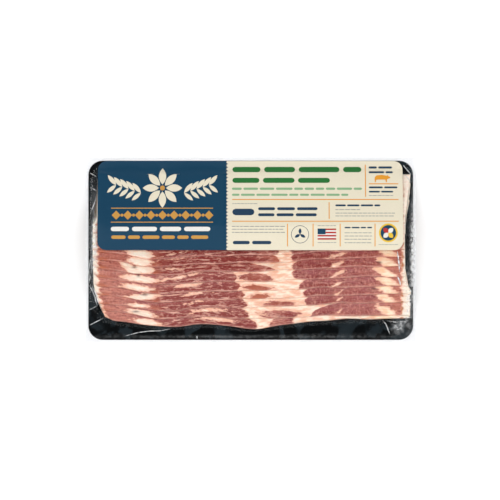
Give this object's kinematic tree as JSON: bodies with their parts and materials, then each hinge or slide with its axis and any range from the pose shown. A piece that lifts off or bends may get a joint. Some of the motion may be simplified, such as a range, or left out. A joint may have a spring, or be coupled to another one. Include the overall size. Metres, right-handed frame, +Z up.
{
  "type": "sliced bacon pack",
  "caption": "Flat retail pack of shingled bacon slices on a black board, sealed in clear film, with a printed label over its back half.",
  "frame": {"origin": "under the middle of the pack, on the surface that it lies on", "axes": "+X along the slices to the right as the label is read, +Y from the front edge to the back, +Z up"},
  "size_m": [0.2674, 0.1492, 0.0265],
  "materials": {
    "black_board": "black coated card, smooth and slightly glossy",
    "cured_pork": "moist cured pork, lean red-brown meat with bands of cream fat",
    "clear_film": "clear flexible film, glossy, with fine creases at the corners",
    "label_paper": "satin printed label, a dark blue field at the left and a cream field at the right"
  },
  "bodies": {
    "root": {"film_base": "clear_film", "board": "black_board", "slice_01": "cured_pork", "slice_02": "cured_pork", "slice_03": "cured_pork", "slice_04": "cured_pork", "slice_05": "cured_pork", "slice_06": "cured_pork", "slice_07": "cured_pork", "slice_08": "cured_pork", "slice_09": "cured_pork", "slice_10": "cured_pork", "slice_11": "cured_pork", "slice_12": "cured_pork", "film_lid": "clear_film", "label": "label_paper"}
  },
  "joints": []
}
